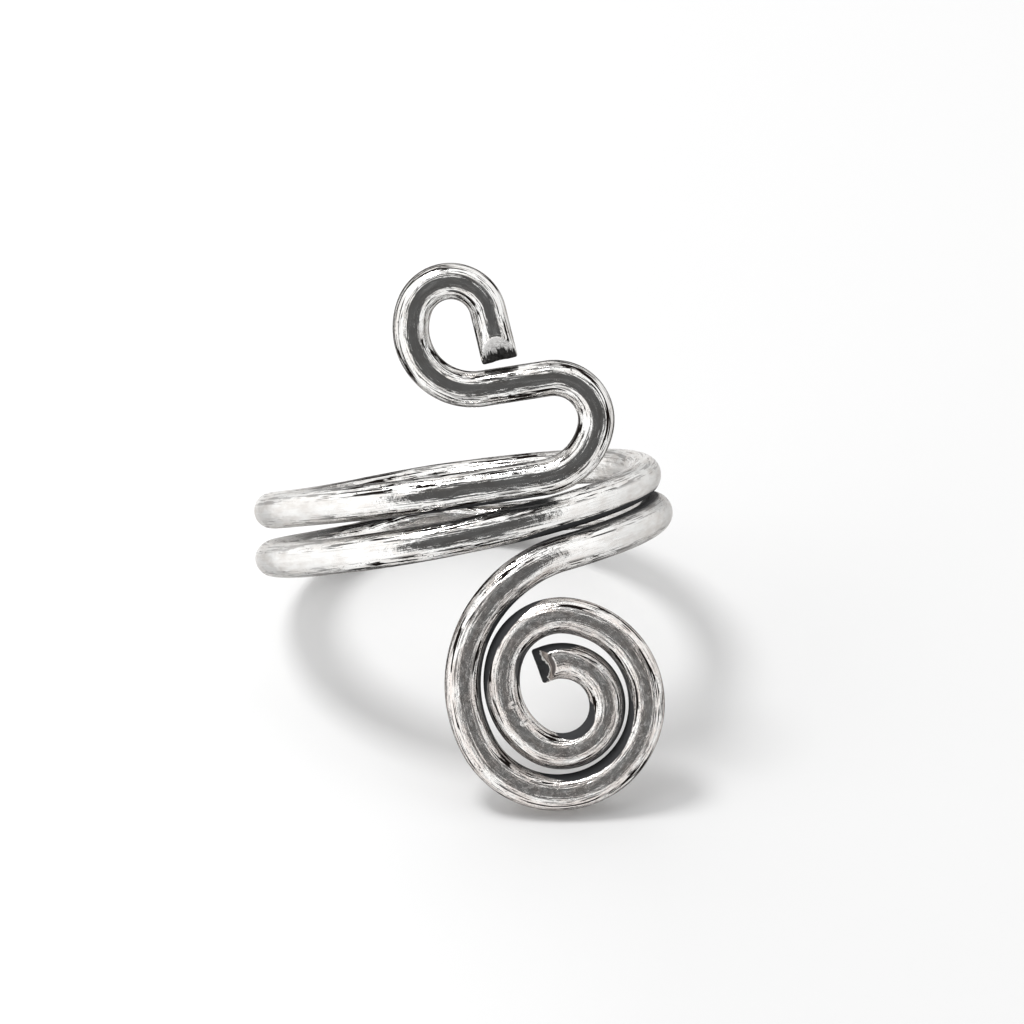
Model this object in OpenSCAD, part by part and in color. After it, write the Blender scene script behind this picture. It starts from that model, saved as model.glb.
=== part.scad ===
// Snake wrap ring: one round wire. Its upper end is bent flat into a hook and its lower
// end into a flat coil, and between them it is wound twice round the finger.
// The wire is laid out in the ring's own frame, with the finger along Z, the front of
// the band towards -Y and both flat ends in the plane that touches the band's front.
// The finished ring leans back, as it does by itself, until it rests on the bottom of
// the coil and the back of the band. The origin is under the middle of its box.

/* [Wire] */
// Diameter of the round wire
wire_d = 1.9; // [1.4:0.05:2.4]
// Bevel round the edge of each cut end
end_bevel = 0.15; // [0.05:0.05:0.4]

/* [Band] */
// Inside diameter of the upper turn, where the finger goes
finger_d = 17.3; // [14:0.1:22]
// Least gap between one turn and the next
turn_gap = 0.1; // [0.05:0.05:1]
// Growth of the band's radius with each turn
turn_flare = 0.3; // [0:0.05:0.6]
// Distance that the hand-wound turns wander from an even helix
turn_wander = 0.5; // [0:0.05:0.8]

/* [Head] */
// Straight wire between the front of the band and the bend beside it
lead_l = 4.6; // [3:0.1:7]
// Radius of the lower part of that bend, at the wire's middle
low_bend_r = 3.2; // [2.4:0.05:4]
// Angle of the lower part of the bend
low_bend_turn = 70; // [55:1:80]
// Radius of the upper part of the bend
top_bend_r = 2.15; // [1.8:0.05:3]
// Angle of the upper part of the bend
top_bend_turn = 110; // [100:1:118]
// Straight run from the bend back across the ring
run_l = 3.4; // [2.4:0.1:5]
// Radius of the wide curve that starts the hook
sweep_r = 3.15; // [2.8:0.05:4]
// Angle of the wide curve
sweep_turn = 120; // [112:1:126]
// Radius of the hook's tight curve
hook_r = 1.95; // [1.6:0.05:2.6]
// Angle of the tight curve
hook_turn = 145; // [138:1:150]
// Gap between the hook's cut tip and the run below it
tip_gap = 0.3; // [0.1:0.05:0.6]
// Slant of the facet that the cutter left on the front half of the tip
tip_slant = 54; // [10:1:60]

/* [Coil] */
// Distance to the right of the front where the wire leaves the band for the coil
coil_start = 5.2; // [4:0.1:7]
// Radius of the innermost curve, round the coil's open eye
eye_r = 2.33; // [1.8:0.01:3]
// Angle of that curve, from which the wire runs on straight to its cut end
eye_turn = 231; // [200:1:236]
// Gap between the corner of that cut end and the turn outside it
eye_gap = 0.05; // [0.03:0.01:0.2]
// Least gap between two turns of the coil
coil_gap = 0.05; // [0.03:0.01:0.4]
// Slant of the facet on the front half of the cut end in the eye
eye_slant = 46; // [10:1:60]

/* [Detail] */
// Length of wire between two cross sections
section_step = 0.7; // [0.6:0.1:1.5]
// Number of sides of the wire's round section
wire_sides = 16; // [8:4:16]

/* [Hidden] */

// A bend is a row: radius at the wire's middle, or STRAIGHT, then angle, or length
RADIUS = 0;
AMOUNT = 1;
STRAIGHT = 0;

// A place on flat wire is a row: x, y and the heading in degrees
HEADING = 2;
LEFTWARD = 180;

// The wandering of the turns: turns round the finger, then the share of turn_wander by
// which the wire lies above an even helix. At the back the lower turn has a shallow arch,
// and the ring stands on its two feet and on the coil.
TURNS = 0;
SHARE = 1;
WANDER = [
    [0, 0],
    [0.125, 0.4],
    [0.25, 0],
    [0.375, -0.8],
    [0.5, -0.4],
    [0.75, 0.1],
    [1, -0.6],
    [1.25, -1],
    [1.4, -1.5],
    [1.47, -0.55],
    [1.54, -1.4],
    [1.75, 0],
    [2, -0.7]
];
BAND_TURNS = 2;

// The coil's curves outside the eye, from the band inwards: radius beyond that of the
// eye, counted in steps of one wire and one gap, then the angle
BEYOND = 0;
COIL = [
    [2.26, 107],
    [1.15, 234],
    [0.33, 74],
    [0.8, 82]
];

// Sizes of the band at the wire's middle
band_r = (finger_d + wire_d) / 2;
coil_r = band_r + turn_flare * BAND_TURNS;
band_end = BAND_TURNS - coil_start / (2 * PI * coil_r);
turn_pitch = wire_d + turn_gap;
coil_step = wire_d + coil_gap;

// Limits and count of the halvings that find the angles at which the ring rests and the
// length of the coil's end, and the step along the coil in which its gaps are measured
LEAN_RANGE = [5, 60];
ROLL_RANGE = [-20, 20];
HALVINGS = 18;
GAP_STEP = 0.05;

function total(rows) = [for (row = rows) 1] * rows;
function unit(v) = v / norm(v);
function reversed(rows) = [for (i = [len(rows) - 1 : -1 : 0]) rows[i]];

// Point that lies a share of the way round a bend, and the heading there
function along_bend(place, bend, share) =
    let (
        h = place[HEADING],
        turn = bend[AMOUNT] * share,
        r = bend[RADIUS] * sign(bend[AMOUNT])
    )
    bend[RADIUS] == STRAIGHT
        ? [place.x + turn * cos(h), place.y + turn * sin(h), h]
        : [
            place.x + r * (sin(h + turn) - sin(h)),
            place.y + r * (cos(h) - cos(h + turn)),
            h + turn
        ];

function bend_length(bend) =
    bend[RADIUS] == STRAIGHT ? bend[AMOUNT] : bend[RADIUS] * abs(bend[AMOUNT]) * PI / 180;

// Places along a chain of bends, without the first one
function trace(place, bends, step = section_step, i = 0) =
    i == len(bends) ? [] :
    let (steps = ceil(bend_length(bends[i]) / step))
    concat(
        [for (k = [1 : steps]) along_bend(place, bends[i], k / steps)],
        trace(along_bend(place, bends[i], 1), bends, step, i + 1)
    );

function place_after(place, bends) =
    let (places = trace(place, bends)) places[len(places) - 1];

// Smooth curve through the rows of WANDER
function wander_slope(i) =
    let (
        a = WANDER[max(i - 1, 0)],
        b = WANDER[min(i + 1, len(WANDER) - 1)]
    )
    (b[SHARE] - a[SHARE]) / (b[TURNS] - a[TURNS]);

function wander_row(t, i = 0) =
    i == len(WANDER) - 2 || t < WANDER[i + 1][TURNS] ? i : wander_row(t, i + 1);

function wander(t) =
    let (
        i = wander_row(t),
        a = WANDER[i],
        b = WANDER[i + 1],
        w = b[TURNS] - a[TURNS],
        s = (t - a[TURNS]) / w
    )
    a[SHARE] * (1 + 2 * s) * pow(1 - s, 2)
        + b[SHARE] * (3 - 2 * s) * pow(s, 2)
        + w * wander_slope(i) * s * pow(1 - s, 2)
        - w * wander_slope(i + 1) * pow(s, 2) * (1 - s);

// Radius and height of the band after a number of turns, and how steeply the wire falls
SLOPE_STEP = 0.001;
function band_radius(t) = band_r + (coil_r - band_r) * t / band_end;
function band_height(t) = turn_wander * wander(t) - turn_pitch * t;
function band_fall(t) =
    let (fall = band_height(t) - band_height(t + SLOPE_STEP))
    atan(fall / (SLOPE_STEP * 2 * PI * band_radius(t)));

// A station of the wire is a row: its middle, then the way that faces off the finger
MIDDLE = 0;
FACING = 1;
function on_round(radius, angle, height) =
    [[radius * sin(angle), -radius * cos(angle), height], [sin(angle), -cos(angle), 0]];
function on_flat(radius, place) = [[place.x, -radius, place.y], [0, -1, 0]];

// Wire of the head, from the front of the band to the cut tip
head_bends = [
    [STRAIGHT, lead_l],
    [low_bend_r, low_bend_turn],
    [top_bend_r, top_bend_turn],
    [STRAIGHT, run_l],
    [sweep_r, -sweep_turn],
    [hook_r, -hook_turn]
];
head_start = [0, 0, band_fall(0)];
run_place = place_after(head_start, [for (i = [0 : 2]) head_bends[i]]);
hook_place = place_after(head_start, head_bends);
tip_room = hook_place.y - run_place.y - wire_d / 2 - tip_gap;
tip_l = tip_room / abs(sin(hook_place[HEADING]));
head_places = trace(head_start, concat(head_bends, [[STRAIGHT, tip_l]]));
head = [for (place = reversed(head_places)) on_flat(band_r, place)];

// Wire round the finger
band_steps = ceil(band_end * 2 * PI * coil_r / section_step);
band = [
    for (k = [0 : band_steps])
        let (t = band_end * k / band_steps)
        on_round(band_radius(t), -360 * t, band_height(t))
];

// Wire of the coil: its first curve stays on the round of the finger as far as the front,
// and it ends where the corner of its cut end comes near the turn outside it
outer_bends = [for (row = COIL) [eye_r + row[BEYOND] * coil_step, row[AMOUNT]]];
inner_bends = concat([for (i = [1 : len(COIL) - 1]) outer_bends[i]], [[eye_r, eye_turn]]);
coil_place = [coil_start, band_height(band_end), LEFTWARD + band_fall(band_end - SLOPE_STEP)];
turn_place = place_after(coil_place, [outer_bends[0]]);
end_place = place_after(turn_place, inner_bends);
outer_line = trace(coil_place, outer_bends, GAP_STEP);

function corner_gap(l) =
    let (
        end = along_bend(end_place, [STRAIGHT, l], 1),
        corner = end + wire_d / 2 * [sin(end[HEADING]), -cos(end[HEADING]), 0],
        spans = [for (place = outer_line) norm([place.x - corner.x, place.y - corner.y])]
    )
    min(spans) - wire_d / 2;

function end_within(low, high, n = HALVINGS) =
    let (middle = (low + high) / 2)
    n == 0 ? low :
    corner_gap(middle) > eye_gap
        ? end_within(middle, high, n - 1)
        : end_within(low, middle, n - 1);

end_l = end_within(0, eye_r);
curve_places = trace(coil_place, [outer_bends[0]]);
turn_places = trace(turn_place, concat(inner_bends, [[STRAIGHT, end_l]]));
curve = [
    for (place = curve_places)
        place.x > 0
            ? on_round(coil_r, place.x / coil_r * 180 / PI, place.y)
            : on_flat(coil_r, place)
];
coil = [for (place = turn_places) on_flat(coil_r, place)];

stations = concat(head, band, curve, coil);
last = len(stations) - 1;
middles = [for (station = stations) station[MIDDLE]];

// The ring rests on the coil and the back of the band, with its centre of mass as low
// as it can be. The way up in the ring's own frame follows from how far it leans back
// and rolls to one side.
function up_at(lean, roll) = [sin(roll), -sin(lean) * cos(roll), cos(lean) * cos(roll)];
function lowest(points, up) = min([for (p = points) p * up]);

lengths = [for (i = [1 : last]) norm(middles[i] - middles[i - 1])];
moments = [for (i = [1 : last]) (middles[i] + middles[i - 1]) / 2 * lengths[i - 1]];
mass_middle = total(moments) / total(lengths);
coil_middles = [for (station = coil) station[MIDDLE]];
band_middles = [for (station = band) station[MIDDLE]];

function lean_at(roll, low = LEAN_RANGE[0], high = LEAN_RANGE[1], n = HALVINGS) =
    let (
        lean = (low + high) / 2,
        up = up_at(lean, roll),
        coil_lower = lowest(coil_middles, up) < lowest(band_middles, up)
    )
    n == 0 ? lean :
    coil_lower ? lean_at(roll, lean, high, n - 1) : lean_at(roll, low, lean, n - 1);

function mass_height(roll) =
    let (up = up_at(lean_at(roll), roll)) mass_middle * up - lowest(middles, up);

function roll_at_rest(low = ROLL_RANGE[0], high = ROLL_RANGE[1], n = HALVINGS) =
    let (
        third = (high - low) / 3,
        falls = mass_height(low + third) > mass_height(high - third)
    )
    n == 0 ? (low + high) / 2 :
    falls ? roll_at_rest(low + third, high, n - 1) : roll_at_rest(low, high - third, n - 1);

rest_roll = roll_at_rest();
rest_lean = lean_at(rest_roll);
up = up_at(rest_lean, rest_roll);
right = unit([1, 0, 0] - up.x * up);
back = cross(up, right);
rest_turn = [right, back, up];

// Rings of points round the wire: one at each station, and one more at each end, where
// the bevel makes the cut face smaller. Towards an end the front half of the rings leans
// over by degrees until the last one has the slant of the facet.
SLANT_STATIONS = 5;
function heading_at(i) = unit(middles[min(i + 1, last)] - middles[max(i - 1, 0)]);
function slant_at(i) =
    tan(tip_slant) * max(0, 1 - i / SLANT_STATIONS)
        - tan(eye_slant) * max(0, 1 - (last - i) / SLANT_STATIONS);

function ring_points(i, shift, radius) =
    let (
        heading = heading_at(i),
        across = unit(cross(heading, stations[i][FACING])),
        out = cross(across, heading)
    )
    [
        for (k = [0 : wire_sides - 1])
            let (
                a = 360 * k / wire_sides,
                ahead = shift + slant_at(i) * radius * max(0, cos(a))
            )
            middles[i] + radius * (cos(a) * out + sin(a) * across) + ahead * heading
    ];

rings = concat(
    [ring_points(0, 0, wire_d / 2 - end_bevel), ring_points(0, end_bevel, wire_d / 2)],
    [for (i = [1 : last - 1]) ring_points(i, 0, wire_d / 2)],
    [ring_points(last, -end_bevel, wire_d / 2), ring_points(last, 0, wire_d / 2 - end_bevel)]
);
ring_count = len(rings);
raw_points = [for (points = rings) for (p = points) rest_turn * p];

// Faces between the rings, and those of the two cut ends
function at_point(ring, side) = ring * wire_sides + side % wire_sides;

side_faces = [
    for (i = [0 : ring_count - 2])
        for (k = [0 : wire_sides - 1])
            each [
                [at_point(i, k), at_point(i, k + 1), at_point(i + 1, k + 1)],
                [at_point(i, k), at_point(i + 1, k + 1), at_point(i + 1, k)]
            ]
];
// Each cut end has its facet in front and a square half behind, which meet in a line
quarter = wire_sides / 4;
function half_face(ring, from) = [for (k = [from : from + 2 * quarter]) at_point(ring, k)];
tip_faces = [reversed(half_face(0, quarter)), reversed(half_face(0, 3 * quarter))];
eye_faces = [half_face(ring_count - 1, quarter), half_face(ring_count - 1, 3 * quarter)];

// The origin: under the middle of the ring's box, on the surface that it rests on
function low_corner(points) = [for (axis = [0 : 2]) min([for (p = points) p[axis]])];
function high_corner(points) = [for (axis = [0 : 2]) max([for (p = points) p[axis]])];
low = low_corner(raw_points);
high = high_corner(raw_points);
origin = [(low.x + high.x) / 2, (low.y + high.y) / 2, low.z];

module ring_wire() {
    color([0.8, 0.79, 0.77])
        translate(-origin)
            polyhedron(raw_points, concat(side_faces, tip_faces, eye_faces), convexity = 8);
}

ring_wire();
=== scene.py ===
import math

import bpy
import numpy as np
from mathutils import Matrix, Vector


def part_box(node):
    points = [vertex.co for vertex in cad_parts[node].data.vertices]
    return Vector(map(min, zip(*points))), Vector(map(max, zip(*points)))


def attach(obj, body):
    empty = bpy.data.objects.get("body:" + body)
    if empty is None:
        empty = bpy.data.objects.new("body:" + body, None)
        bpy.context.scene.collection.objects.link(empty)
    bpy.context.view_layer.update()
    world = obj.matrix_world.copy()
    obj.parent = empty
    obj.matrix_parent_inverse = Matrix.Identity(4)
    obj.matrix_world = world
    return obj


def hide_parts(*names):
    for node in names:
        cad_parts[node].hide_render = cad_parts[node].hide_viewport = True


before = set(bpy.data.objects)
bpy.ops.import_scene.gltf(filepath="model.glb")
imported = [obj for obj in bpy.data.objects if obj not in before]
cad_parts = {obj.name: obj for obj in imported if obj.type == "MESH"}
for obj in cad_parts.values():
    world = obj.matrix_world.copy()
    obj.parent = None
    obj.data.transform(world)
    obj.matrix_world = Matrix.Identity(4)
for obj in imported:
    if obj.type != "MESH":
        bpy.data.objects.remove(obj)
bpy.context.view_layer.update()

MM = 0.001

# Sizes of the wire's path, the same as in the CAD model, in millimetres and degrees
WIRE_D = 1.9
FINGER_D = 17.3
TURN_GAP = 0.1
TURN_FLARE = 0.3
TURN_WANDER = 0.5
BAND_TURNS = 2
LEAD_L = 4.6
LOW_BEND_R = 3.2
LOW_BEND_TURN = 70
TOP_BEND_R = 2.15
TOP_BEND_TURN = 110
RUN_L = 3.4
SWEEP_R = 3.15
SWEEP_TURN = 120
HOOK_R = 1.95
HOOK_TURN = 145
TIP_GAP = 0.3
TIP_SLANT = 54
COIL_START = 5.2
COIL_GAP = 0.05
EYE_R = 2.33
EYE_TURN = 231
EYE_GAP = 0.05
EYE_SLANT = 46

# Bends of the coil from outside to inside: radius beyond the eye's in steps of the coil, angle
COIL = [(2.26, 107), (1.15, 234), (0.33, 74), (0.8, 82)]

# How the band strays from an even winding: turns from its start, share of TURN_WANDER
WANDER = np.array(
    [
        [0, 0],
        [0.125, 0.4],
        [0.25, 0],
        [0.375, -0.8],
        [0.5, -0.4],
        [0.75, 0.1],
        [1, -0.6],
        [1.25, -1],
        [1.4, -1.5],
        [1.47, -0.55],
        [1.54, -1.4],
        [1.75, 0],
        [2, -0.7],
    ]
)

BAND_R = (FINGER_D + WIRE_D) / 2
COIL_R = BAND_R + TURN_FLARE * BAND_TURNS
BAND_END = BAND_TURNS - COIL_START / (2 * math.pi * COIL_R)
COIL_STEP = WIRE_D + COIL_GAP

# Searches: rounds of halving, the step in turns that gives a slope, and the angles of rest
HALVINGS = 18
SLOPE_STEP = 0.001
LEAN_RANGE = (5.0, 60.0)
ROLL_RANGE = (-20.0, 20.0)

# Fineness of the visual mesh, and how far it lies inside the solid and above its floor
STEP = 0.12
SIDES = 40
SKIN = 0.008
FLOOR_LIFT = 0.003

# Handwork, in millimetres: worn depth, soft dents as (wave length, height, phase), and an oval
# section that turns along the wire
WORN = 0.012
DENTS = [(23.0, 0.004, 0.4), (7.3, 0.003, 1.9), (3.1, 0.0015, 0.7)]
OVAL = 0.006
OVAL_WAVE = 17
OVAL_TWIST = 9

# Cut ends: round of the edge, and the stretch of wire over which the sections lean to the slant
CUT_EDGE_R = 0.14
CUT_CLEAR = 1.2 * CUT_EDGE_R
CUT_LEAN_L = 3.4
CUT_EDGE_RINGS = 6
CAP_SHARES = (0.3, 0.65)
CUT_MARK_RINGS = len(CAP_SHARES) + 3

# Zones along the wire, in millimetres: the head's from the tip, the others from the eye's end
HEAD_L = 24
TAIL_L = 40
COILED_L = 52
COILED_FADE = 8
EYE_ZONE_L = 14
EYE_ZONE_FADE = 4

# Where the band's two sides begin to look frosted, in millimetres from the ring's middle plane
SIDE_START = 6
SIDE_FADE = 3

# Nearness to other stretches of the wire, in millimetres: the wire's own stretch is left out,
# and a point with nothing near it counts as in the open air
OWN_STRETCH = 3.4
OPEN_AIR = 9.0
# Within this reach of another stretch, shade is painted into the crevice
CREVICE_REACH = 0.7
NEAR_SKIP = 3
NEAR_BATCH = 4000

# The ways that the coil's flanks and the underside of the band face, where shade is painted on
# them. Each pair below is where a share begins and the width over which it changes between 0 and 1
FLANK_WAY = np.array([-0.68, 0.47, 0.56])
FLANK_FACING = (0.3, 0.4)
FLANK_GAP = (1.0, 0.3)
FRONT_FACING = (-0.4, 0.4)
UNDER_WAY = np.array([-0.05, -0.59, -0.81])
UNDER_FACING = (0.2, 0.3)
UNDER_GAP = (0.75, 0.3)

# Relief of the silver, in metres
DENT_DEPTH = 0.00006
LINE_DEPTH = 0.00003
GRAIN_DEPTH = 0.00001
NICK_DEPTH = 0.000075

# Nicks: place along the wire, angle round it, half length and half width
NICKS = [
    (5.5, 40, 0.3, 0.13),
    (15.8, -35, 0.3, 0.08),
    (187.75, -22, 0.24, 0.34),
    (188.95, -29, 0.24, 0.34),
    (171.0, 30, 0.3, 0.1),
]

# Colours of the silver
SILVER = (0.97, 0.965, 0.95, 1)
SILVER_CLOUD = (0.82, 0.79, 0.76, 1)
COIL_SILVER = (1.0, 0.985, 0.965, 1)
COIL_CLOUD = (0.88, 0.82, 0.78, 1)
SCRATCH_TONE = (0.014, 0.011, 0.01, 1)
# Painted shade, darkening the crevices, the coil's flanks and the band's underside
PAINTED_SHADE_TONE = (0.062, 0.063, 0.066, 1)
NICK_TONE = (0.62, 0.61, 0.6, 1)
EDGE_TINT = (0.45, 0.43, 0.42, 1)

# Torn metal of the two cuts, as stops of place and colour from the middle of the section outward
TIP_STOPS = [
    (0.3, (0.06, 0.058, 0.057)),
    (0.36, (0.92, 0.91, 0.9)),
    (1.0, (0.75, 0.74, 0.73)),
]
EYE_STOPS = [
    (0.36, (0.075, 0.075, 0.078)),
    (0.39, (0.9, 0.87, 0.84)),
    (0.44, (0.9, 0.87, 0.84)),
    (0.48, (0.22, 0.19, 0.17)),
    (0.62, (0.5, 0.44, 0.4)),
    (0.7, (0.14, 0.125, 0.12)),
]

# Camera at the photograph's angle: degrees, and the rest in millimetres
CAM_AZ = -5.29
CAM_EL = 36.31
CAM_ROLL = 0.5
CAM_DISTANCE = 400
CAM_LENS = 268.56
CAM_SENSOR = 36
CAM_AIM = np.array([2.556, 3.353, 7.316])

# Key light and floor: degrees, metres and watts
KEY_AZ = -127
KEY_EL = 65
KEY_DISTANCE = 0.35
KEY_SIZE = 0.1
KEY_POWER = 0.5
FLOOR_HALF = 1.5


def trace(place, bends):
    """Places [x, y, heading] along straight runs (0, length) and arcs (radius, angle)."""
    rows = []
    x, y, h = place
    for radius, amount in bends:
        length = amount if radius == 0 else radius * abs(math.radians(amount))
        steps = max(2, math.ceil(length / STEP))
        share = np.arange(1, steps + 1) / steps
        a = math.radians(h)
        if radius == 0:
            run = length * share
            row = [x + run * math.cos(a), y + run * math.sin(a), h + 0 * share]
        else:
            r = math.copysign(radius, amount)
            b = a + np.radians(amount) * share
            row = [
                x + r * (np.sin(b) - math.sin(a)),
                y + r * (math.cos(a) - np.cos(b)),
                h + amount * share,
            ]
        rows.append(np.stack(row, 1))
        x, y, h = rows[-1][-1]
    return np.vstack(rows)


def wander(t):
    """Smooth curve through the points of WANDER."""
    x, y = WANDER.T
    slope = np.empty(len(x))
    slope[1:-1] = (y[2:] - y[:-2]) / (x[2:] - x[:-2])
    slope[0] = (y[1] - y[0]) / (x[1] - x[0])
    slope[-1] = (y[-1] - y[-2]) / (x[-1] - x[-2])
    i = np.clip(np.searchsorted(x, t, side="right") - 1, 0, len(x) - 2)
    w = x[i + 1] - x[i]
    s = (t - x[i]) / w
    return (
        y[i] * (1 + 2 * s) * (1 - s) ** 2
        + y[i + 1] * (3 - 2 * s) * s**2
        + w * slope[i] * s * (1 - s) ** 2
        - w * slope[i + 1] * s**2 * (1 - s)
    )


def band_height(t):
    """Height of the band's middle at t turns from its start."""
    return TURN_WANDER * wander(t) - (WIRE_D + TURN_GAP) * t


def band_fall(t, radius):
    """Angle at which the band falls at t turns from its start."""
    fall = band_height(np.array([t])) - band_height(np.array([t + SLOPE_STEP]))
    return math.degrees(math.atan(fall[0] / (SLOPE_STEP * 2 * math.pi * radius)))


def flat(radius, rows):
    """A flat stretch in front of the finger: middles, and the way off the finger."""
    middle = np.stack([rows[:, 0], np.full(len(rows), -radius), rows[:, 1]], 1)
    return middle, np.tile([0.0, -1.0, 0.0], (len(rows), 1))


def on_round(radius, angle, height):
    """A stretch round the finger: middles, and the way off the finger."""
    middle = np.stack([radius * np.sin(angle), -radius * np.cos(angle), height], 1)
    return middle, np.stack([np.sin(angle), -np.cos(angle), 0 * angle], 1)


def head_line():
    """The hook and the bends beside it, from the cut tip to the start of the band."""
    bends = [
        (0, LEAD_L),
        (LOW_BEND_R, LOW_BEND_TURN),
        (TOP_BEND_R, TOP_BEND_TURN),
        (0, RUN_L),
        (SWEEP_R, -SWEEP_TURN),
        (HOOK_R, -HOOK_TURN),
    ]
    start = (0, 0, band_fall(0, BAND_R))
    run = trace(start, bends[:3])[-1]
    hook = trace(start, bends)[-1]
    room = hook[1] - run[1] - WIRE_D / 2 - TIP_GAP
    tip = room / abs(math.sin(math.radians(hook[2])))
    return flat(BAND_R, trace(start, bends + [(0, tip)])[::-1])


def band_line():
    """The two turns round the finger, on a radius that widens."""
    steps = math.ceil(BAND_END * 2 * math.pi * COIL_R / STEP)
    t = BAND_END * np.arange(steps + 1) / steps
    radius = BAND_R + (COIL_R - BAND_R) * t / BAND_END
    return on_round(radius, -2 * math.pi * t, band_height(t))


def tail_lines():
    """The lead-in that leaves the round of the finger, and the flat coil after it."""
    outer = [(EYE_R + share * COIL_STEP, angle) for share, angle in COIL]
    fall = band_fall(BAND_END - SLOPE_STEP, COIL_R)
    place = (COIL_START, band_height(np.array([BAND_END]))[0], 180 + fall)
    around = trace(place, outer)[:, :2]
    x, y, heading = trace(place, outer + [(EYE_R, EYE_TURN)])[-1]
    ahead = np.array([math.cos(math.radians(heading)), math.sin(math.radians(heading))])
    corner = np.array([x, y]) + WIRE_D / 2 * np.array([ahead[1], -ahead[0]])
    # The straight end is as long as the clearance of its corner allows
    low = 0.0
    end_l = EYE_R
    for _ in range(HALVINGS):
        middle = (low + end_l) / 2
        gap = np.linalg.norm(around - corner - middle * ahead, axis=1).min() - WIRE_D / 2
        if gap > EYE_GAP:
            low = middle
        else:
            end_l = middle
    rows = trace(place, outer + [(EYE_R, EYE_TURN), (0, end_l)])
    curve = rows[: np.argmax(rows[:, 0] <= 0)]
    rest = rows[len(curve) :]
    return on_round(COIL_R, curve[:, 0] / COIL_R, curve[:, 1]), flat(COIL_R, rest)


def up_at(lean, roll):
    """The way up, seen by the ring that leans and rolls by these angles."""
    a, b = math.radians(lean), math.radians(roll)
    return np.array([math.sin(b), -math.sin(a) * math.cos(b), math.cos(a) * math.cos(b)])


def rest_turn(middles, band, coil):
    """Rows of the rest frame: the ring rests on its coil and the back of its band."""
    ends = (middles[1:] + middles[:-1]) / 2
    length = np.linalg.norm(np.diff(middles, axis=0), axis=1)
    mass = (ends * length[:, None]).sum(0) / length.sum()

    def lean_at(roll):
        low, high = LEAN_RANGE
        for _ in range(HALVINGS):
            lean = (low + high) / 2
            up = up_at(lean, roll)
            if (coil @ up).min() < (band @ up).min():
                low = lean
            else:
                high = lean
        return (low + high) / 2

    def height(roll):
        up = up_at(lean_at(roll), roll)
        return mass @ up - (middles @ up).min()

    low, high = ROLL_RANGE
    for _ in range(HALVINGS):
        third = (high - low) / 3
        if height(low + third) > height(high - third):
            low += third
        else:
            high -= third
    roll = (low + high) / 2
    up = up_at(lean_at(roll), roll)
    right = np.array([1.0, 0, 0]) - up[0] * up
    right /= np.linalg.norm(right)
    return np.array([right, np.cross(up, right), up])


def wave(x, terms):
    """Sum of sines of x: (length of one wave, height, phase)."""
    return sum(h * np.sin(2 * math.pi * x / w + p) for w, h, p in terms)


def rise(value, start, width):
    """0 up to start, then up to 1 over the width."""
    return np.clip((value - start) / width, 0, 1)


def fall_to(value, end, width):
    """1 well below the end, and 0 from the end on."""
    return np.clip((end - value) / width, 0, 1)


def unit_rows(rows):
    """The rows as ways of length 1."""
    return rows / np.linalg.norm(rows, axis=1)[:, None]


def ring_rows(along, radius):
    """Rings of the mesh from tip to eye: place on the line, shift, less of the radius, share."""
    last = len(along) - 1
    quarter = np.linspace(0, math.pi / 2, CUT_EDGE_RINGS)
    ends = []
    for share in CAP_SHARES:
        ends.append((0, (radius - CUT_EDGE_R) * (1 - share), share * (1 - CUT_EDGE_R / radius)))
    for q in quarter:
        less = CUT_EDGE_R * (1 - math.sin(q))
        ends.append((CUT_EDGE_R * (1 - math.cos(q)), less, 1 - less / radius))
    between = np.flatnonzero((along > CUT_CLEAR) & (along < along[-1] - CUT_CLEAR))
    rows = [(0, shift, less, share) for shift, less, share in ends]
    rows += [(i, 0, 0, 1.0) for i in between]
    rows += [(last, -shift, less, share) for shift, less, share in ends[::-1]]
    place, shift, less, share = np.array(rows).T
    return place.astype(int), shift, less, share


def tube_faces(count):
    """Quads between the rings, and a fan of triangles over each end."""
    side = np.arange(SIDES)
    after = (side + 1) % SIDES
    ring = np.arange(count - 1)[:, None] * SIDES
    corners = [ring + side, ring + after, ring + SIDES + after, ring + SIDES + side]
    quads = np.stack(corners, 2).reshape(-1, 4)
    end = (count - 1) * SIDES
    tip_fan = np.stack([np.full(SIDES, count * SIDES), after, side], 1)
    eye_fan = np.stack([np.full(SIDES, count * SIDES + 1), end + side, end + after], 1)
    return quads.tolist() + tip_fan.tolist() + eye_fan.tolist()


def gap_to_others(points, s_along, middles, along):
    """Distance from each point to the nearest other stretch of the wire, apart from the tip."""
    sample = np.flatnonzero(along > WIRE_D)[::NEAR_SKIP]
    near = np.full(len(points), OPEN_AIR)
    for a in range(0, len(points), NEAR_BATCH):
        batch = slice(a, a + NEAR_BATCH)
        gap = np.linalg.norm(points[batch][:, None] - middles[sample][None], axis=2) - WIRE_D / 2
        own = np.abs(s_along[batch][:, None] - along[sample][None]) < OWN_STRETCH
        near[batch] = np.where(own, OPEN_AIR, gap).min(1)
    near[s_along < WIRE_D] = OPEN_AIR
    return near


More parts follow.
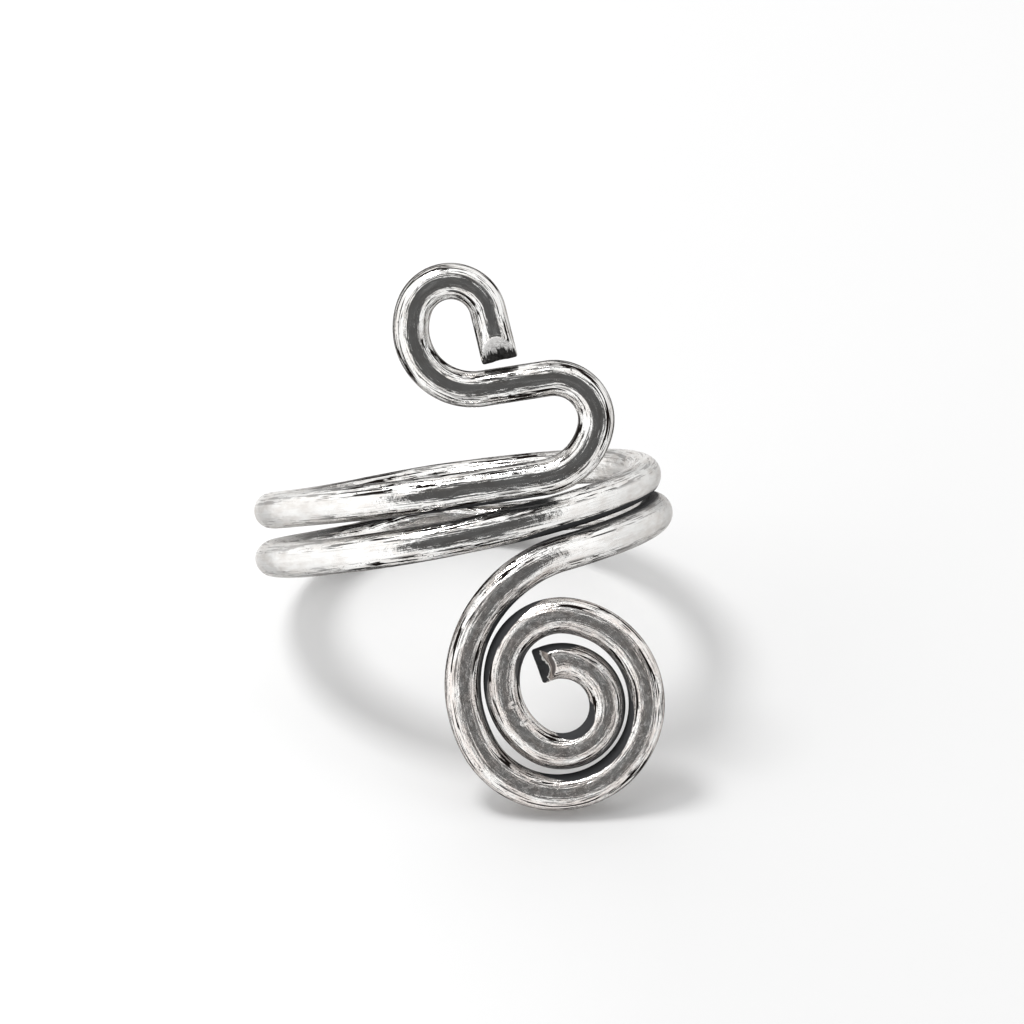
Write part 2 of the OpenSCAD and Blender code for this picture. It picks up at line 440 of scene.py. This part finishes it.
def surface_marks(points, s_along, total, angle, way, near, count):
    """Shares from 0 to 1 at each point, by name, that the material reads."""
    # Painted shade on the flanks of the coil that face up and to the left, beside the next turn
    # and round the eye, and painted shadow on the underside of the band, beside the turn below
    coiled = rise(s_along, total - COILED_L, COILED_FADE)
    on_band = (s_along > HEAD_L) & (s_along < total - TAIL_L)
    leftward = rise(way @ FLANK_WAY, *FLANK_FACING)
    round_eye = rise(s_along, total - EYE_ZONE_L, EYE_ZONE_FADE)
    beside = np.maximum(fall_to(near, *FLANK_GAP), round_eye)
    in_front = rise(np.cos(angle), *FRONT_FACING)
    below = rise(way @ UNDER_WAY, *UNDER_FACING) * fall_to(near, *UNDER_GAP) * on_band
    tip_cut, eye_cut = np.zeros(len(points)), np.zeros(len(points))
    tip_cut[: CUT_MARK_RINGS * SIDES] = 1
    eye_cut[(count - CUT_MARK_RINGS) * SIDES : count * SIDES] = 1
    tip_cut[-2] = 1
    eye_cut[-1] = 1
    return {
        # Painted shade in the crevices between turns
        "crevice": fall_to(near, CREVICE_REACH, CREVICE_REACH),
        "painted_shade": np.maximum(leftward * beside * in_front * coiled, below),
        # The band's two sides are worn dull and pale
        "frosted": rise(np.abs(points[:, 0]), SIDE_START, SIDE_FADE) * on_band,
        "tip_cut": tip_cut,
        "eye_cut": eye_cut,
        "coiled": coiled,
    }


def wire_line():
    """Middles of the wire in the ring's own frame, the way off the finger, and the rest frame."""
    band = band_line()
    lead, coil = tail_lines()
    parts = [head_line(), band, lead, coil]
    middles = np.vstack([middle for middle, _ in parts])
    facing = np.vstack([way for _, way in parts])
    return middles, facing, rest_turn(middles, band[0], coil[0])


def cut_slant(along):
    """Slope of the sections' front half, which grows by degrees towards the slant of each cut."""
    from_tip = np.clip(1 - along / CUT_LEAN_L, 0, None)
    from_eye = np.clip(1 - (along[-1] - along) / CUT_LEAN_L, 0, None)
    tip_slope = math.tan(math.radians(TIP_SLANT))
    eye_slope = math.tan(math.radians(EYE_SLANT))
    return tip_slope * from_tip - eye_slope * from_eye


def seat(points):
    """The shift that seats the points in the middle of the solid's box, and on its floor."""
    low, high = points.min(0), points.max(0)
    box_low, box_high = (np.array(corner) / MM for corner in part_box("ring_wire"))
    shift = (box_low + box_high) / 2 - (low + high) / 2
    shift[2] = box_low[2] + FLOOR_LIFT - low[2]
    return shift


def build_wire():
    middles, facing, turn = wire_line()
    heading = unit_rows(np.gradient(middles, axis=0))
    across = unit_rows(np.cross(heading, facing))
    out = np.cross(across, heading)
    lengths = np.linalg.norm(np.diff(middles, axis=0), axis=1)
    along = np.concatenate([[0], np.cumsum(lengths)])
    total = along[-1]

    plain_radius = WIRE_D / 2 - SKIN
    place, shift, less, share = ring_rows(along, plain_radius)
    count = len(place)
    angle = 2 * math.pi * np.arange(SIDES) / SIDES
    s = along[place][:, None]
    oval = OVAL * np.sin(2 * math.pi * s / OVAL_WAVE + 1) * np.cos(2 * angle + s / OVAL_TWIST)
    radius = plain_radius - WORN + wave(s, DENTS) + oval - less[:, None]
    side = np.cos(angle)[:, None] * out[place][:, None]
    side += np.sin(angle)[:, None] * across[place][:, None]
    slant = cut_slant(along)[place][:, None]
    ahead = shift[:, None] + slant * radius * np.clip(np.cos(angle), 0, None)
    rings = middles[place][:, None] + radius[:, :, None] * side
    rings += ahead[:, :, None] * heading[place][:, None]
    tips = [rings[0].mean(0), rings[-1].mean(0)]
    points = np.vstack([rings.reshape(-1, 3), tips]) @ turn.T
    seated = seat(points)
    points += seated

    # The middle of each end is one more point, at angle 0 and with no share of the radius
    s_along = np.append(np.repeat(along[place], SIDES), [0.0, total])
    turn_angle = np.append(np.tile(angle, count), [0.0, 0.0])
    shares = np.append(np.repeat(share, SIDES), [0.0, 0.0])
    place = np.append(np.repeat(place, SIDES), [0, len(along) - 1])

    mesh = bpy.data.meshes.new("silver_wire")
    mesh.from_pydata((points * MM).tolist(), [], tube_faces(count))
    mesh.validate()
    mesh.update()
    for poly in mesh.polygons:
        poly.use_smooth = True

    # Coordinates of the surface for the material: millimetres along the wire, and the place
    # round it as a point of a circle
    lay = np.stack([s_along, shares * np.cos(turn_angle), shares * np.sin(turn_angle)], 1)
    data = mesh.attributes.new("lay", "FLOAT_VECTOR", "POINT").data
    data.foreach_set("vector", lay.astype(np.float32).ravel())

    way = np.cos(turn_angle)[:, None] * out[place] + np.sin(turn_angle)[:, None] * across[place]
    near = gap_to_others(points, s_along, middles @ turn.T + seated, along)
    marks = surface_marks(points, s_along, total, turn_angle, way @ turn.T, near, count)
    for name, value in marks.items():
        data = mesh.attributes.new(name, "FLOAT", "POINT").data
        data.foreach_set("value", value.astype(np.float32))

    piece = bpy.data.objects.new("silver_wire", mesh)
    bpy.context.scene.collection.objects.link(piece)
    return piece


class Nodes:
    """Short way to make and link shader nodes."""

    def __init__(self, owner):
        owner.use_nodes = True
        self.tree = owner.node_tree
        self.tree.nodes.clear()

    def put(self, socket, value):
        if isinstance(value, bpy.types.NodeSocket):
            self.tree.links.new(value, socket)
        else:
            socket.default_value = value

    def add(self, kind, inputs=None, **settings):
        node = self.tree.nodes.new(kind)
        for key, value in settings.items():
            setattr(node, key, value)
        for key, value in (inputs or {}).items():
            self.put(node.inputs[key], value)
        return node

    def attribute(self, name, output="Fac"):
        return self.add("ShaderNodeAttribute", attribute_name=name).outputs[output]

    def math(self, operation, a, b, clamp=False):
        node = self.add("ShaderNodeMath", {0: a, 1: b}, operation=operation, use_clamp=clamp)
        return node.outputs[0]

    def times(self, a, b):
        return self.math("MULTIPLY", a, b)

    def plus(self, a, b):
        return self.math("ADD", a, b)

    def larger(self, a, b):
        return self.math("MAXIMUM", a, b)

    def inverse(self, a):
        """1 less a."""
        return self.math("SUBTRACT", 1.0, a)

    def swing(self, a, amount):
        """The noise a about its middle, times the amount."""
        return self.times(self.math("SUBTRACT", a, 0.5), amount)

    def vector(self, operation, a, b, output="Vector"):
        node = self.add("ShaderNodeVectorMath", {0: a, 1: b}, operation=operation)
        return node.outputs[output]

    def ramp(self, factor, stops):
        node = self.add("ShaderNodeValToRGB", {"Fac": factor})
        ramp = node.color_ramp
        while len(ramp.elements) < len(stops):
            ramp.elements.new(0.5)
        for element, (place, value) in zip(ramp.elements, stops):
            element.position = place
            element.color = (value, value, value, 1) if isinstance(value, float) else (*value, 1)
        return node.outputs["Color"]

    def mix(self, factor, a, b):
        node = self.add("ShaderNodeMix", {0: factor, 6: a, 7: b}, data_type="RGBA")
        return node.outputs[2]

    def noise(self, place, stretch, detail=3.0, rough=0.55, scale=1.0):
        place = self.vector("MULTIPLY", place, stretch)
        inputs = {"Vector": place, "Scale": scale, "Detail": detail, "Roughness": rough}
        return self.add("ShaderNodeTexNoise", inputs).outputs["Fac"]

    def bump(self, height, depth, before=None):
        inputs = {"Strength": 1.0, "Distance": depth, "Height": height}
        if before is not None:
            inputs["Normal"] = before
        return self.add("ShaderNodeBump", inputs).outputs[0]


def nick_hollow(n, lay):
    """0 in the middle of each nick, and 1 past its edge."""
    nearest = None
    for place, angle, half_length, half_width in NICKS:
        a = math.radians(angle)
        away = n.vector("SUBTRACT", lay, (place, math.cos(a), math.sin(a)))
        away = n.vector("MULTIPLY", away, (1 / half_length, 1 / half_width, 1 / half_width))
        away = n.add("ShaderNodeVectorMath", {0: away}, operation="LENGTH").outputs["Value"]
        nearest = away if nearest is None else n.math("MINIMUM", nearest, away)
    return n.add("ShaderNodeMapRange", {0: nearest}, interpolation_type="SMOOTHSTEP").outputs[0]


def wear_marks(n, lay, depth, lines, hair, grain):
    """Share of the silver taken up by scratches and pits."""
    # Lengthwise scratches of the handwork, broken up in patches along the wire
    patches = n.noise(lay, (0.5, 1.4, 1.4))
    scratch = n.ramp(lines, [(0.555, 0.0), (0.57, 1.0)])
    fine = n.ramp(hair, [(0.575, 0.0), (0.585, 1.0)])
    worn = n.ramp(patches, [(0.4, 0.15), (0.45, 1.0)])
    scratched = n.times(n.larger(scratch, fine), worn)
    # Pits and specks
    pit = n.ramp(grain, [(0.6, 0.0), (0.63, 1.0)])
    speck_zone = n.ramp(n.noise(lay, (0.45, 1.3, 1.3), 2.0, scale=1.3), [(0.46, 0.0), (0.56, 1.0)])
    pitted = n.times(pit, speck_zone)
    # The crown of the wire is rubbed smooth
    crown = n.ramp(depth, [(0.86, 1.0), (0.93, 0.08)])
    return n.times(n.larger(scratched, pitted), crown)


def relief(n, lay, coiled, lines, hair, grain, hollow):
    """Bumps over each other: soft dents, scratches, nicks and grain."""
    bump = n.bump(n.noise(lay, (1.1, 1.5, 1.5), 2.0), DENT_DEPTH)
    bump = n.bump(lines, LINE_DEPTH, bump)
    bump = n.bump(hollow, NICK_DEPTH, bump)
    rough_grain = n.plus(n.times(grain, n.plus(coiled, 1.0)), n.times(hair, 0.5))
    return n.bump(rough_grain, GRAIN_DEPTH, bump)


def silver_material():
    """Worn silver wire. The stops of its ramps were set against the photograph."""
    material = bpy.data.materials.new("bright_silver")
    n = Nodes(material)
    lay = n.attribute("lay", "Vector")
    tip_cut = n.attribute("tip_cut")
    eye_cut = n.attribute("eye_cut")
    coiled = n.attribute("coiled")
    frosted = n.attribute("frosted")
    depth = n.add("ShaderNodeSeparateXYZ", {0: lay}).outputs["Y"]
    depth = n.math("ABSOLUTE", depth, 0.0)

    # Handwork: the band's two sides have fewer marks
    lines = n.noise(lay, (0.4, 6.5, 6.5), 1.5, 0.5)
    hair = n.noise(lay, (0.8, 13.0, 13.0), 2.0)
    grain = n.noise(lay, (9.0, 8.0, 8.0), 3.0, 0.7)
    mark = wear_marks(n, lay, depth, lines, hair, grain)
    mark = n.times(mark, n.inverse(n.times(frosted, 0.6)))

    # Clouded silver, browner in the coil, under dark marks, with painted shade in the crevices, on
    # the coil's flanks and under the band
    hollow = nick_hollow(n, lay)
    cloud = n.noise(lay, (0.8, 2.0, 2.0), 4.0, 0.6)
    tone = n.mix(n.ramp(cloud, [(0.42, 0.0), (0.66, 1.0)]), SILVER, SILVER_CLOUD)
    coil_tone = n.mix(n.ramp(cloud, [(0.4, 0.0), (0.6, 1.0)]), COIL_SILVER, COIL_CLOUD)
    tone = n.mix(coiled, tone, coil_tone)
    tone = n.mix(mark, tone, SCRATCH_TONE)
    # Painted shade in the crevices between turns
    crevice_shade = n.times(n.ramp(n.attribute("crevice"), [(0.34, 0.0), (0.5, 1.0)]), 0.9)
    # Painted shade on the coil's up-left flanks and the band's underside, mottled by the cloud
    flank_shade = n.ramp(n.plus(n.attribute("painted_shade"), n.swing(cloud, 0.6)), [(0.4, 0.0), (0.52, 1.0)])
    dark = n.larger(crevice_shade, flank_shade)
    # Painted shade: the crevices, the coil's flanks and the band's underside darkened to one tone
    tone = n.mix(dark, tone, PAINTED_SHADE_TONE)
    tone = n.mix(n.times(n.inverse(hollow), 0.6), tone, NICK_TONE)

    # Cut ends: torn metal, at the tip dark in the middle with spikes, in the eye folded
    spikes = n.noise(lay, (1.0, 0.8, 9.0), 3.0, 0.6)
    tip_tone = n.ramp(n.plus(depth, n.swing(spikes, 0.9)), TIP_STOPS)
    eye_tone = n.ramp(n.plus(depth, n.swing(cloud, 0.7)), EYE_STOPS)
    tone = n.mix(tip_cut, tone, tip_tone)
    tone = n.mix(eye_cut, tone, eye_tone)

    # Where it is marked, painted with shade, cut, mottled or frosted, the silver is matt and not a
    # mirror
    cut = n.math("ADD", tip_cut, eye_cut, True)
    mottle = n.noise(lay, (3.0, 4.0, 4.0), 5.0, 0.75)
    coil_matt = n.ramp(mottle, [(0.42, 0.02), (0.64, 0.32)])
    matt = n.larger(n.larger(mark, dark), n.times(cut, 0.4))
    matt = n.larger(matt, n.times(coiled, coil_matt))
    matt = n.larger(matt, n.times(frosted, 0.55))
    metallic = n.math("SUBTRACT", 1.0, matt, True)
    rough = n.ramp(n.noise(lay, (0.8, 5.0, 5.0)), [(0.35, 0.03), (0.65, 0.08)])
    for zone, amount in ((coiled, 0.1), (frosted, 0.12), (cut, 0.2)):
        rough = n.plus(rough, n.times(zone, amount))

    shader = n.add(
        "ShaderNodeBsdfPrincipled",
        {
            "Base Color": tone,
            "Metallic": metallic,
            "Specular IOR Level": 0.0,
            "Roughness": rough,
            "Specular Tint": EDGE_TINT,
            "Normal": relief(n, lay, coiled, lines, hair, grain, hollow),
        },
    )
    n.add("ShaderNodeOutputMaterial", {"Surface": shader.outputs[0]})
    return material


def floor_material():
    """Plain and pale, with painted shade that makes it a little darker to the right."""
    material = bpy.data.materials.new("pale_floor")
    n = Nodes(material)
    place = n.add("ShaderNodeSeparateXYZ", {0: n.add("ShaderNodeTexCoord").outputs["Object"]})
    side = n.add("ShaderNodeMapRange", {0: place.outputs["X"], 1: -0.012, 2: 0.008}).outputs[0]
    # Painted shade: darker towards the right
    tone = n.ramp(side, [(0.0, 0.915), (1.0, 0.845)])
    shader = n.add("ShaderNodeBsdfDiffuse", {"Color": tone})
    n.add("ShaderNodeOutputMaterial", {"Surface": shader.outputs[0]})
    return material


def add_floor():
    corners = [(-1, -1), (1, -1), (1, 1), (-1, 1)]
    mesh = bpy.data.meshes.new("floor")
    mesh.from_pydata([(x * FLOOR_HALF, y * FLOOR_HALF, 0) for x, y in corners], [], [(0, 1, 2, 3)])
    mesh.materials.append(floor_material())
    floor = bpy.data.objects.new("floor", mesh)
    floor.visible_glossy = False
    bpy.context.scene.collection.objects.link(floor)


def unit_from(az, el):
    """Way towards a place at this azimuth from the front and this elevation, in degrees."""
    a, e = math.radians(az), math.radians(el)
    return np.array([math.sin(a) * math.cos(e), -math.cos(a) * math.cos(e), math.sin(e)])


def add_camera():
    toward = unit_from(CAM_AZ, CAM_EL)
    a, r = math.radians(CAM_AZ), math.radians(CAM_ROLL)
    level = np.array([math.cos(a), math.sin(a), 0])
    upward = np.cross(toward, level)
    rows = np.eye(4)
    rows[:3, 0] = math.cos(r) * level + math.sin(r) * upward
    rows[:3, 1] = -math.sin(r) * level + math.cos(r) * upward
    rows[:3, 2] = toward
    rows[:3, 3] = (CAM_AIM + CAM_DISTANCE * toward) * MM
    data = bpy.data.cameras.new("camera")
    data.lens = CAM_LENS
    data.sensor_width = CAM_SENSOR
    data.clip_start = 0.01
    data.clip_end = 10
    camera = bpy.data.objects.new("camera", data)
    camera.matrix_world = Matrix(rows.tolist())
    bpy.context.scene.collection.objects.link(camera)
    bpy.context.scene.camera = camera


def add_world():
    """Pale studio all round, with the dark of the room in front and a dark strip behind."""
    world = bpy.data.worlds.new("studio")
    bpy.context.scene.world = world
    n = Nodes(world)
    way = n.add("ShaderNodeTexCoord").outputs["Generated"]

    def toward(az, el):
        """1 in that direction, 0 opposite."""
        share = n.vector("DOT_PRODUCT", way, tuple(unit_from(az, el)), "Value")
        inputs = {0: share, 1: 0.5, 2: 0.5}
        return n.add("ShaderNodeMath", inputs, operation="MULTIPLY_ADD").outputs[0]

    # The stops of these ramps were set against the photograph's reflections
    room = n.ramp(toward(CAM_AZ + 10, CAM_EL - 2), [(0.838, 1.0), (0.848, 0.065), (0.89, 0.08)])
    # Behind the ring the backdrop is pale, and past its edge on the left it is dark
    edge_stops = [(0.025, 0.0), (0.045, 0.9), (0.14, 0.9), (0.18, 0.0)]
    edge = n.ramp(toward(CAM_AZ, CAM_EL), edge_stops)
    left = n.ramp(toward(-125, -20), [(0.48, 0.0), (0.62, 1.0)])
    far = n.inverse(n.times(edge, left))
    sky = n.ramp(toward(-70, 50), [(0.1, 0.88), (0.9, 1.2)])
    level = n.times(n.times(room, far), sky)
    background = n.add("ShaderNodeBackground", {"Color": level, "Strength": 1.0})
    n.add("ShaderNodeOutputWorld", {"Surface": background.outputs[0]})


def add_key_light():
    data = bpy.data.lights.new("key", "AREA")
    data.shape = "DISK"
    data.size = KEY_SIZE
    data.energy = KEY_POWER
    light = bpy.data.objects.new("key", data)
    way = unit_from(KEY_AZ, KEY_EL)
    light.location = (way * KEY_DISTANCE).tolist()
    light.rotation_euler = Vector(way.tolist()).to_track_quat("Z", "Y").to_euler()
    bpy.context.scene.collection.objects.link(light)


piece = build_wire()
piece.data.materials.append(silver_material())
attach(piece, "root")
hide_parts("ring_wire")

add_floor()
add_camera()
add_world()
add_key_light()
bpy.context.scene.view_settings.view_transform = "Standard"
